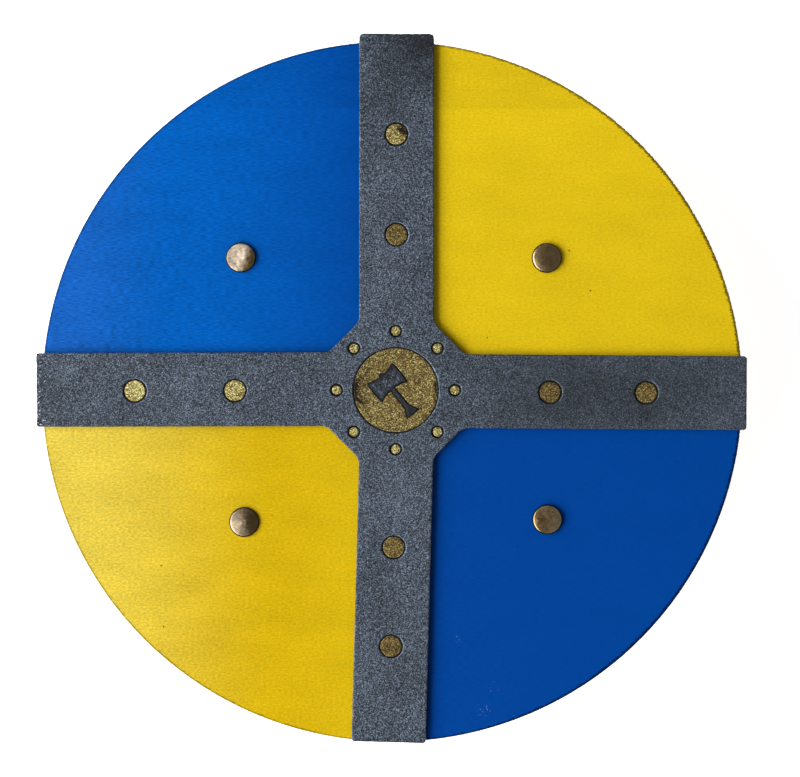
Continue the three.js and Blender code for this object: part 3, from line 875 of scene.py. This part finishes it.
def painted_plywood(name, drift, dash, calm, scorched, washed):
    """Poplar plywood under one coat of matt acrylic paint, brushed along the grain. The eye sees
    a strong colour that drifts to other shades from right to left, and this drift is painted
    light: painted shade where the colour darkens and a painted sheen where it turns pale at the
    far left. It is also a little paler at the top, and has short soft dashes along the grain that
    grow calmer to the right, away from the painted sheen that shows them, a darker veneer strip
    above a joint, and a scorched, frayed line round the rim, widened towards the right by painted
    shade. It also has a few dark specks, or pale washed marks where washed is true. Drift is a
    ramp of colours of painted light from x = 20 to -170 mm, a dash is its length, width and
    contrast, and calm is the share of it left on the right."""
    finish, tree = new_material(name)
    here = add(tree, "TexCoord", out="Object")
    x, y, _ = add(tree, "SeparateXYZ", (here,)).node.outputs
    length, breadth, contrast = dash
    dashes = pattern(tree, "TexNoise", (length, breadth), Detail=2.0)
    lines = pattern(tree, "TexNoise", (17, 1.1), Detail=2.0)
    clouds = pattern(tree, "TexNoise", (36, 15), Detail=3.0)
    pores = pattern(tree, "TexNoise", (2.6, 0.6), Detail=1.0)
    pores = add(tree, "MapRange", (pores, 0.66, 0.8, 0.0, 0.25))
    layers = ((dashes, contrast), (lines, 0.12), (clouds, 0.42))
    grain = -0.5 * sum(share for _, share in layers)
    for part, share in layers:
        grain = add(tree, "Math", (part, share, grain), operation="MULTIPLY_ADD")
    grain = add(tree, "Math", (grain, pores), operation="SUBTRACT")
    # The dashes weaken to the right, away from the painted sheen that shows them on the left.
    side = add(tree, "MapRange", (x, 0.06, -0.14, calm, 1.0))
    strip = add(tree, "MapRange", (y, 0.1413, 0.1417, 0.0, -0.16))
    patchy = pattern(tree, "TexNoise", (30, 5), Detail=4.0)
    level = add(tree, "Math", (grain, side, 1.0), operation="MULTIPLY_ADD")
    level = add(tree, "Math", (strip, patchy, level), operation="MULTIPLY_ADD")
    bright = add(tree, "MapRange", (y, 0.09, 0.14, 0.0, 0.06))
    level = add(tree, "Math", (level, bright))
    # Painted light: the ramp's darker colours are painted shade, and its pale end is a painted sheen at
    # the far left.
    colour = add(tree, "ValToRGB", (add(tree, "MapRange", (x, 0.02, -0.17)),), stops=drift)
    colour.node.color_ramp.interpolation = "EASE"
    colour = add(tree, "VectorMath", {0: colour, "Scale": level}, operation="SCALE")
    for px, py, radius in WASHED_MARKS if washed else DARK_SPECKS:
        spot = (px * MM, py * MM, BOARD_FRONT * MM)
        gap = add(tree, "VectorMath", (here, spot), "Value", operation="DISTANCE")
        amount = add(tree, "MapRange", (gap, radius * MM, 0.35 * radius * MM))
        if washed:
            grit = pattern(tree, "TexNoise", (0.9, 1.4, 5), Detail=2.0)
            grit = add(tree, "MapRange", (grit, 0.6, 0.85))
            amount = add(tree, "Math", (amount, grit), operation="MULTIPLY")
        mark = linear("#8FA9CC" if washed else "#3A2C10")
        colour = add(tree, "Mix", {0: amount, 6: colour, 7: mark}, 2, data_type="RGBA")
    flat = add(tree, "CombineXYZ", (x, y))
    reach = add(tree, "VectorMath", (flat,), "Value", operation="LENGTH")
    fray = pattern(tree, "TexNoise", (1.8, 0.5, 2), Detail=3.0)
    # Real char, widened and strengthened towards the right as painted shade on the rim's side away from
    # the light.
    width = add(tree, "MapRange", (x, -0.02, 0.17, 0.0023, 0.0034))
    burn = add(tree, "Math", (fray, width, reach), operation="MULTIPLY_ADD")
    burn = add(tree, "MapRange", (burn, (BOARD_RADIUS + 0.3) * MM, (BOARD_RADIUS + 0.7) * MM))
    for share in ((x, -0.02, 0.06, 0.55, 0.78), (y, 0.12, 0.155, 1.0, 0.8)):
        burn = add(tree, "Math", (burn, add(tree, "MapRange", share)), operation="MULTIPLY")
    relief = add(tree, "Math", (pores, -1.2, dashes), operation="MULTIPLY_ADD")
    colour = add(tree, "Mix", {0: burn, 6: colour, 7: scorched}, 2, data_type="RGBA")
    return cover(finish, relief, 0.4, 0.06, specular_ior_level=0.06,
                 base_color=colour,
                 roughness=add(tree, "MapRange", (lines, 0.3, 0.7, 0.38, 0.48)))


def scorched_ply_edge():
    """The plywood's edge as a hot laser leaves it: five veneers, in turn along and across, under
    a brown to black char with upright streaks. The eye sees thin bands of warm dark brown."""
    finish, tree = new_material("laser_cut_plywood_edge")
    height = add(tree, "SeparateXYZ", (add(tree, "TexCoord", out="Object"),), 2)
    streaks = pattern(tree, "TexNoise", (1.1, 1.1, 5), Detail=3.0)
    clouds = pattern(tree, "TexNoise", (16, 16, 16), Detail=2.0)
    waver = add(tree, "Math", (clouds, 0.6 * MM, height), operation="MULTIPLY_ADD")
    level = add(tree, "MapRange", (waver, (BOARD_BACK + 0.3) * MM, (BOARD_FRONT + 0.3) * MM))
    veneers = zip((0.0, 0.2, 0.4, 0.6, 0.8), ("#7A5230", "#3C2514", "#805833", "#3A2313", "#6F4A2B"))
    layers = add(tree, "ValToRGB", (level,), stops=[(place, linear(code)) for place, code in veneers])
    layers.node.color_ramp.interpolation = "CONSTANT"
    char = add(tree, "MapRange", (streaks, 0.38, 0.68))
    colour = add(tree, "Mix", {0: char, 6: layers, 7: linear("#1D120A")}, 2, data_type="RGBA")
    return cover(finish, streaks, 0.7, 0.2, specular_ior_level=0.25, roughness=0.75,
                 base_color=colour)


def bare_plywood(wood):
    """The back: sanded rotary-cut poplar veneer without a finish, laid as the front is. The eye
    sees a pale warm ground, long wavy darker figure, short pores, and a smoky rim."""
    finish, tree = new_material("bare_poplar_plywood")
    x, y, _ = add(tree, "SeparateXYZ", (add(tree, "TexCoord", out="Object"),)).node.outputs
    drift = pattern(tree, "TexNoise", (150, 45), Detail=2.0)
    slow = add(tree, "Math", (x, 0.04), operation="MULTIPLY")
    warped = add(tree, "Math", (drift, 0.085, y), operation="MULTIPLY_ADD")
    across = add(tree, "CombineXYZ", (slow, warped))
    figure = add(tree, "TexNoise", {
        "Vector": across, "Scale": 1 / (5.5 * MM), "Detail": 3.0, "Roughness": 0.62})
    fibre = pattern(tree, "TexNoise", (18, 0.7), Detail=2.0)
    pore = add(tree, "MapRange", (pattern(tree, "TexNoise", (4.5, 0.6)), 0.66, 0.74, 0.0, 0.5))
    level = add(tree, "Math", (fibre, 0.35, figure), operation="MULTIPLY_ADD")
    level = add(tree, "MapRange", (level, 0.45, 0.9))
    colour = add(tree, "ValToRGB", (level,), stops=[
        (0.0, shade(wood, 0.72, (1, 0.9, 0.78))), (0.35, shade(wood, 0.93, (1, 0.97, 0.92))),
        (1.0, shade(wood, 1.1))])
    hollow = shade(wood, 0.4, (1, 0.8, 0.6))
    colour = add(tree, "Mix", {0: pore, 6: colour, 7: hollow}, 2, data_type="RGBA")
    reach = add(tree, "VectorMath", (add(tree, "CombineXYZ", (x, y)),), "Value", operation="LENGTH")
    smoke = add(tree, "Math", (drift, 6 * MM, reach), operation="MULTIPLY_ADD")
    burn = add(tree, "MapRange", (smoke, (BOARD_RADIUS - 1.5) * MM, (BOARD_RADIUS + 3.5) * MM, 0.0, 0.9))
    colour = add(tree, "Mix", {0: burn, 6: colour, 7: linear("#4B2F18")}, 2, data_type="RGBA")
    return cover(finish, fibre, 0.5, 0.06, specular_ior_level=0.3, roughness=0.68,
                 base_color=colour)


def graphite_foam(graphite):
    """Closed-cell foam sheet wiped with a graphite metallic paint. The eye sees a blue-grey
    grain of light and dark specks half a millimetre wide, calmer to the right as painted shade
    away from the light, cloudy thin places, bright sparks at the torn left end, and a soft dull
    metal sheen. Its tone mark holds dirt and bare edges, with painted highlights on the recess
    lips that face the light and painted shade on the right arm."""
    finish, tree = new_material("graphite_paint_on_foam")
    tone = add(tree, "Attribute", out="Fac", attribute_name="tone")
    across = add(tree, "SeparateXYZ", (add(tree, "TexCoord", out="Object"),))
    grain = pattern(tree, "TexNoise", (0.55, 0.55, 0.55), Detail=1.0, Roughness=0.8)
    clouds = pattern(tree, "TexNoise", (17, 17, 17), Detail=4.0)
    cells = pattern(tree, "TexVoronoi", (0.42, 0.42, 0.42), "Color")
    fleck, spark, _ = add(tree, "SeparateColor", (cells,)).node.outputs
    # Painted shade: the grain is calmer on the right, away from the light.
    calm = add(tree, "MapRange", (across, 0.02, 0.07, 1.0, 0.7))
    level = add(tree, "Math", (grain, 1.55, -1.245), operation="MULTIPLY_ADD")
    level = add(tree, "Math", (fleck, 0.94, level), operation="MULTIPLY_ADD")
    level = add(tree, "Math", (level, calm, 0.6), operation="MULTIPLY_ADD")
    for part, share in ((clouds, 0.3), (tone, 0.22)):
        level = add(tree, "Math", (part, share, level), operation="MULTIPLY_ADD")
    level = add(tree, "MapRange", (level, 0.2, 1.4))
    tones = ((0.0, 0.08), (0.28, 0.35), (0.5, 0.85), (0.74, 2.0), (1.0, 4.2))
    colour = add(tree, "ValToRGB", (level,), stops=[
        (place, shade(graphite, factor)) for place, factor in tones])
    torn = add(tree, "MapRange", (across, -0.1695, -0.175, 0.0, 0.075))
    bright = add(tree, "MapRange", (add(tree, "Math", (spark, torn)), 1.03, 1.06))
    colour = add(tree, "Mix", {0: bright, 6: colour, 7: linear("#F8FAFC")}, 2, data_type="RGBA")
    return cover(finish, grain, 0.5, 0.22, metallic=0.2, specular_ior_level=0.4,
                 base_color=colour,
                 roughness=add(tree, "MapRange", (level, 0.0, 1.0, 0.72, 0.5)))


def cut_foam():
    """The foam's own black where it is cut or pressed and the paint didn't reach: matt, with
    the fine open cells of a blade cut."""
    finish, tree = new_material("cut_black_foam")
    cells = pattern(tree, "TexVoronoi", (0.5, 0.5, 0.5))
    patches = pattern(tree, "TexNoise", (4, 4, 1.2), Detail=3.0)
    colour = add(tree, "ValToRGB", (patches,), stops=[
        (0.35, linear("#0D0C0E")), (0.65, linear("#1D1E23"))])
    return cover(finish, cells, 0.5, 0.2, base_color=colour, specular_ior_level=0.2, roughness=0.85)


def glitter_paint(gold):
    """Gold glitter craft paint, dabbed thickly into the pressed recesses. The eye sees flakes
    about half a millimetre wide, each with its own brightness and tilt, from straw to umber,
    and dark brown where the paint has rubbed off. Each recess's tone brightens or darkens its
    gold as a painted sheen, brighter towards the light on the left."""
    finish, tree = new_material("gold_glitter_paint")
    worn, tone = (add(tree, "Attribute", out="Fac", attribute_name=key) for key in ("wear", "tone"))
    flakes = pattern(tree, "TexVoronoi", (0.4, 0.4, 0.4), "Color")
    chance, gap, tilt = add(tree, "SeparateColor", (flakes,)).node.outputs
    clouds = pattern(tree, "TexNoise", (5, 5, 5), Detail=4.0)
    level = chance
    # The tone mark is a painted sheen on each recess's gold.
    for part, share in ((clouds, 0.28), (tone, 0.38)):
        level = add(tree, "Math", (part, share, level), operation="MULTIPLY_ADD")
    level = add(tree, "MapRange", (level, 0.16, 1.12))
    colour = add(tree, "ValToRGB", (level,), stops=[
        (0.0, shade(gold, 0.16)), (0.22, shade(gold, 0.42)), (0.5, shade(gold, 0.84)),
        (0.78, shade(gold, 1.85, (1, 1, 1.1))), (1.0, shade(gold, 6.0, (0.85, 0.9, 1.28)))])
    gap = add(tree, "Math", (gap, 0.6, worn), operation="MULTIPLY_ADD")
    rubbed = add(tree, "MapRange", (gap, 0.65, 0.95))
    colour = add(tree, "Mix", {0: rubbed, 6: colour, 7: linear("#231608")}, 2, data_type="RGBA")
    return cover(finish, tilt, 0.8, 0.25, metallic=0.55, roughness=0.45,
                 base_color=colour)


def antique_brass(brass):
    """Pressed brass with an antiquing dip, rubbed back. The eye sees a brown-gold metal whose
    polish is broken by fine scratches and cloudy patches, nearly black in a ring round its foot
    where the dip stayed and painted shade stands for the gap under the rim, darker on a cap's far
    side as painted shade and on the bottom right cap as a smudge, and paler where hands have
    rubbed it, which on most caps is also a painted highlight on the side towards the light."""
    finish, tree = new_material("antiqued_brass")
    foot, rubbed = (add(tree, "Attribute", out="Fac", attribute_name=key) for key in ("foot", "rubbed"))
    clouds = pattern(tree, "TexNoise", (5, 5, 5), Detail=4.0, Roughness=0.6)
    scratches = pattern(tree, "TexNoise", (3.2, 0.35, 0.6), Detail=3.0)
    spots = pattern(tree, "TexNoise", (1.5, 1.2, 1.5), Detail=2.0)
    colour = add(tree, "ValToRGB", (clouds,), stops=[
        (0.3, shade(brass, 0.72, (1, 0.92, 0.82))), (0.5, brass),
        (0.7, shade(brass, 1.18, (0.98, 1, 1.06)))])
    thin = add(tree, "MapRange", (spots, 0.3, 0.62, 0.5, 1.0))
    # Rubbed paleness, on most caps also a painted highlight on the side towards the light.
    pale = add(tree, "Math", (rubbed, thin), operation="MULTIPLY")
    colour = add(tree, "Mix", {0: pale, 6: colour, 7: linear("#F2E0C8")}, 2, data_type="RGBA")
    worn = add(tree, "Math", (spots, 0.6, 0.7), operation="MULTIPLY_ADD")
    colour = add(tree, "VectorMath", {0: colour, "Scale": worn}, operation="SCALE")
    matt = add(tree, "MapRange", (add(tree, "Math", (clouds, scratches)), 0.7, 1.3, 0.17, 0.27))
    # The foot mark: the dip's near-black, with painted shade in the gap under the rim and on the far
    # side.
    colour = add(tree, "Mix", {0: foot, 6: colour, 7: shade(brass, 0.02)}, 2, data_type="RGBA")
    return cover(finish, scratches, 0.25, 0.05, metallic=0.8,
                 base_color=colour,
                 roughness=add(tree, "Math", (rubbed, 0.22, matt), operation="MULTIPLY_ADD"))


def strap_leather(name, hide, pebble, roughness, depth):
    """Vegetable-tanned strap leather, dyed brown. The grain side shows pebbles under a
    millimetre wide with darker creases between them and a waxy sheen; the flesh side and the
    burnished edges use the same recipe with another pebble, depth and sheen. The pebble's width
    and the relief's depth are in millimetres."""
    finish, tree = new_material(name)
    lay = add(tree, "Attribute", out="Vector", attribute_name="lay")
    creased = add(tree, "Attribute", out="Fac", attribute_name="crease")
    cells = add(tree, "TexVoronoi", {"Vector": lay, "Scale": 1 / (pebble * MM)},
                feature="DISTANCE_TO_EDGE")
    clouds = add(tree, "TexNoise", {"Vector": lay, "Scale": 1 / (14 * MM), "Detail": 4.0})
    fibres = add(tree, "TexNoise", {"Vector": lay, "Scale": 1 / (0.5 * MM), "Detail": 2.0})
    valley = add(tree, "MapRange", (cells, 0.0, 0.22))
    tone = clouds
    for part, share in ((valley, 0.3), (creased, -0.12)):
        tone = add(tree, "Math", (part, share, tone), operation="MULTIPLY_ADD")
    colour = add(tree, "ValToRGB", (tone,), stops=[
        (0.3, shade(hide, 0.45)), (0.7, hide), (1.0, shade(hide, 1.5, (1, 0.95, 0.88)))])
    matt = add(tree, "MapRange", (clouds, 0.3, 0.7, roughness - 0.07, roughness + 0.07))
    relief = add(tree, "Math", (fibres, 0.3, valley), operation="MULTIPLY_ADD")
    return cover(finish, relief, 0.6, depth, specular_ior_level=0.35,
                 base_color=colour, roughness=matt)


def studio_floor():
    """A white sweep, softly lit from within as a light table is, so that it stays white. Under
    the board its glow is turned down, a painted shadow of the shield that it stands over."""
    finish, tree = new_material("white_studio_floor")
    reach = add(tree, "VectorMath", (add(tree, "TexCoord", out="Object"),), "Value", operation="LENGTH")
    # Painted shadow: the glow sinks from the open floor to the patch under the board.
    glow = add(tree, "MapRange", (reach, 0.1, 0.178, 0.15, 0.8), interpolation_type="SMOOTHSTEP")
    specks = pattern(tree, "TexNoise", (4, 4, 4), Detail=2.0)
    colour = add(tree, "ValToRGB", (specks,), stops=[(0.0, linear("#E4E8EE")), (1.0, linear("#F0F4FA"))])
    return cover(finish, roughness=0.9, specular_ior_level=0.1, base_color=colour,
                 emission_color=linear("#FFFFFF"), emission_strength=glow)


# The add-on.


def size_property(name, description, default, low, high):
    """A length setting in metres, between two limits."""
    return bpy.props.FloatProperty(name=name, description=description, default=default, min=low, max=high,
                                   unit="LENGTH", subtype="DISTANCE", precision=5)


class ShieldSizes(bpy.types.PropertyGroup):
    """Sizes that a user would change."""

    rim_rounding: size_property(
        "Rim rounding", "Radius of the board's front corner", 0.0006, 0.0003, 0.002)
    foam_rounding: size_property(
        "Foam rounding", "Radius of the cross's upper edge", 0.0007, 0.0003, 0.0012)
    recess_depth: size_property(
        "Recess depth", "Depth of the groove round each gold spot", 0.0008, 0.0006, 0.0018)
    gold_level: size_property(
        "Gold level", "Depth of the gold paint under the foam's face", 0.00035, 0.0002, 0.0006)
    glitter_grain: size_property(
        "Glitter grain", "Spacing of the grit in the gold paint", 0.00055, 0.0004, 0.002)
    strap_width: size_property("Strap width", "Width of the arm straps", 0.026, 0.02, 0.026)
    strap_thickness: size_property(
        "Strap thickness", "Thickness of the leather", 0.0025, 0.0018, 0.0025)
    strap_edge_round: size_property(
        "Strap edge rounding", "Radius of the burnished edges", 0.0009, 0.0003, 0.0012)
    camera_height: size_property(
        "Camera height", "Height of the camera above the board", 1.6, 0.8, 4.0)
    picture_width: size_property(
        "Picture width", "Width of the picture at the board's front", 0.4, 0.3, 1.0)


def colour_property(name, description, code):
    """A colour setting with its default from an sRGB hex value."""
    return bpy.props.FloatVectorProperty(
        name=name, description=description, default=linear(code), size=4, min=0, max=1, subtype="COLOR")


class ShieldColours(bpy.types.PropertyGroup):
    """Colours that a user would change."""

    # The deep, warm and pale copies of the two paints are painted light: the darker ones painted shade,
    # the pale ones a painted sheen at the far left.
    blue_paint: colour_property("Blue paint", "Matt blue of two quarters, left of the middle", "#005CB6")
    blue_paint_painted_shade: colour_property("Deep blue paint", "The same blue on the right", "#004397")
    blue_paint_painted_sheen: colour_property("Pale blue paint", "The same blue at the far left", "#1760BB")
    yellow_paint: colour_property("Yellow paint", "Matt yellow of two quarters, on the right", "#E0BE16")
    yellow_paint_painted_shade: colour_property(
        "Warm yellow paint", "The same yellow left of the middle", "#D4B00C")
    yellow_paint_painted_sheen: colour_property("Pale yellow paint", "The same yellow at the far left", "#E4C94A")
    graphite: colour_property("Graphite", "Metallic paint on the foam", "#4A535F")
    gold: colour_property("Gold", "Glitter paint in the recesses", "#8A7540")
    brass: colour_property("Brass", "Antiqued brass of the rivets", "#A88D62")
    bare_wood: colour_property("Bare wood", "Unpainted back of the board", "#CDAE83")
    leather: colour_property("Leather", "Grain side of the straps", "#5A3620")


class SHIELD_OT_board(bpy.types.Operator):
    """Build the plywood disc with its painted quarters and cut rim"""

    bl_idname = "shield.board"
    bl_label = "Board"

    def execute(self, context):
        colours = context.scene.shield_colours
        # Ramps of painted light: painted shade in the darker copies, a painted sheen in the pale ones.
        blues = ((0.0, colours.blue_paint_painted_shade), (0.66, colours.blue_paint),
                 (1.0, colours.blue_paint_painted_sheen))
        yellows = ((0.0, colours.yellow_paint), (0.4, colours.yellow_paint_painted_shade),
                   (1.0, colours.yellow_paint_painted_sheen))
        finishes = [
            painted_plywood("matt_blue_paint_on_plywood", blues,
                            (3.2, 0.5, 1.7), 0.2, linear("#020C1C"), True),
            painted_plywood("matt_yellow_paint_on_plywood", yellows,
                            (1.5, 0.8, 1.0), 0.55, linear("#2E2606"), False),
            scorched_ply_edge(),
            bare_plywood(colours.bare_wood),
        ]
        shell = board_shell(context.scene.shield_sizes)
        make_piece("painted_board", shell, finishes, "board")
        return {"FINISHED"}


class SHIELD_OT_cross(bpy.types.Operator):
    """Build the foam cross with its pressed gold spots, roundel and axe"""

    bl_idname = "shield.cross"
    bl_label = "Foam cross"

    def execute(self, context):
        colours = context.scene.shield_colours
        finishes = [graphite_foam(colours.graphite), cut_foam(), glitter_paint(colours.gold)]
        shell, marks = cross_shell(context.scene.shield_sizes)
        make_piece("foam_cross", shell, finishes, "cross", marks, (GOLD,))
        return {"FINISHED"}


class SHIELD_OT_rivets(bpy.types.Operator):
    """Build the four domed rivet caps and the posts behind them"""

    bl_idname = "shield.rivets"
    bl_label = "Rivets"

    def execute(self, context):
        finish = antique_brass(context.scene.shield_colours.brass)
        for corner in CORNERS:
            for name, node, (shell, marks) in (("domed_cap", "rivet_cap", cap_shell(corner)),
                                               ("capped_post", "rivet_post", post_shell(corner))):
                make_piece(f"{name}_{corner}", shell, [finish],
                           f"{node}_{corner}", marks)
        return {"FINISHED"}


class SHIELD_OT_straps(bpy.types.Operator):
    """Build the two bowed leather arm straps"""

    bl_idname = "shield.straps"
    bl_label = "Arm straps"

    def execute(self, context):
        hide = context.scene.shield_colours.leather
        flesh, burnished = shade(hide, 1.7, (1, 1.02, 1.05)), shade(hide, 0.42)
        finishes = [
            strap_leather("strap_leather_grain_side", hide, 0.9, 0.5, 0.08),
            strap_leather("strap_leather_flesh_side", flesh, 0.45, 0.85, 0.12),
            strap_leather("strap_leather_burnished_edge", burnished, 1.6, 0.42, 0.04),
        ]
        for side in ("left", "right"):
            shell, lay, crease = strap_shell(side, context.scene.shield_sizes)
            make_piece(f"leather_strap_{side}", shell, finishes, f"strap_{side}",
                       {"lay": lay, "crease": crease}, crease=60)
        return {"FINISHED"}


# The stage, in metres: the floor's radius, the light panels with their place, size and power
# and the point that they face, and the camera's place beside the board's axis. The surround's
# tones are listed by how steeply the view points up, from level to straight up.
FLOOR_RADIUS = 7.0
PANELS = (("low_window", (-2.91, -0.67, 1.88), (5.6, 2.3), 272.0),
          ("high_panel", (-0.75, -0.25, 2.0), (0.5, 0.9), 1.7))
PANEL_AIM = Vector((0, 0, 0.045))
CAMERA_SHIFT = (0.0039, 0.00155)
SENSOR_WIDTH = 36
SKY = ((0.0, "#FFFFFF"), (0.12, "#F4F4F4"), (0.4, "#8A8C90"), (0.95, "#3A3C40"))


class SHIELD_OT_stage(bpy.types.Operator):
    """Set up the white floor, the soft lights and the camera above"""

    bl_idname = "shield.stage"
    bl_label = "Stage"

    def execute(self, context):
        scene = context.scene
        sizes = scene.shield_sizes
        mesh = bpy.data.meshes.new("studio_floor")
        corners = circle(0, 0, FLOOR_RADIUS, 64)
        mesh.from_pydata([(x, y, 0) for x, y in corners], [], [range(len(corners))])
        mesh.materials.append(studio_floor())
        floor = bpy.data.objects.new("studio_floor", mesh)
        scene.collection.objects.link(floor)

        for name, place, size, power in PANELS:
            lamp = bpy.data.lights.new(name, "AREA")
            lamp.shape, lamp.size, lamp.size_y, lamp.energy = "RECTANGLE", *size, power
            light = bpy.data.objects.new(name, lamp)
            light.location = place
            light.rotation_euler = (PANEL_AIM - light.location).to_track_quat("-Z", "Y").to_euler()
            scene.collection.objects.link(light)

        world = bpy.data.worlds.new("studio_surround")
        world.use_nodes = True
        tree = world.node_tree
        sky = add(tree, "TexCoord", out="Generated")
        rise = add(tree, "SeparateXYZ", (sky,), 2)
        glow = add(tree, "ValToRGB", (rise,), stops=[(height, linear(code)) for height, code in SKY])
        tree.links.new(glow, tree.nodes["Background"].inputs["Color"])
        scene.world = world

        lens = bpy.data.cameras.new("photo_camera")
        lens.sensor_width = SENSOR_WIDTH
        lens.lens = SENSOR_WIDTH * sizes.camera_height / sizes.picture_width
        lens.clip_end = 100
        camera = bpy.data.objects.new("photo_camera", lens)
        camera.location = (*CAMERA_SHIFT, BOARD_FRONT * MM + sizes.camera_height)
        scene.collection.objects.link(camera)
        scene.camera = camera
        scene.view_settings.view_transform = "Standard"
        return {"FINISHED"}


OPERATORS = (SHIELD_OT_board, SHIELD_OT_cross, SHIELD_OT_rivets, SHIELD_OT_straps, SHIELD_OT_stage)


class SHIELD_PT_panel(bpy.types.Panel):
    """Lists the shield's sizes, colours and pieces"""

    bl_idname = "SHIELD_PT_panel"
    bl_label = "Round Shield"
    bl_space_type = "VIEW_3D"
    bl_region_type = "UI"
    bl_category = "Shield"

    def draw(self, context):
        for group in (context.scene.shield_sizes, context.scene.shield_colours):
            box = self.layout.box()
            for key in group.__annotations__:
                box.prop(group, key)
        for operator in OPERATORS:
            self.layout.operator(operator.bl_idname)


CLASSES = (ShieldSizes, ShieldColours, *OPERATORS, SHIELD_PT_panel)


def register():
    for cls in CLASSES:
        bpy.utils.register_class(cls)
    bpy.types.Scene.shield_sizes = bpy.props.PointerProperty(type=ShieldSizes)
    bpy.types.Scene.shield_colours = bpy.props.PointerProperty(type=ShieldColours)


def unregister():
    del bpy.types.Scene.shield_colours
    del bpy.types.Scene.shield_sizes
    for cls in reversed(CLASSES):
        bpy.utils.unregister_class(cls)


def main():
    register()
    bpy.ops.shield.stage()
    bpy.ops.shield.board()
    bpy.ops.shield.cross()
    bpy.ops.shield.rivets()
    bpy.ops.shield.straps()


if __name__ == "__main__":
    main()
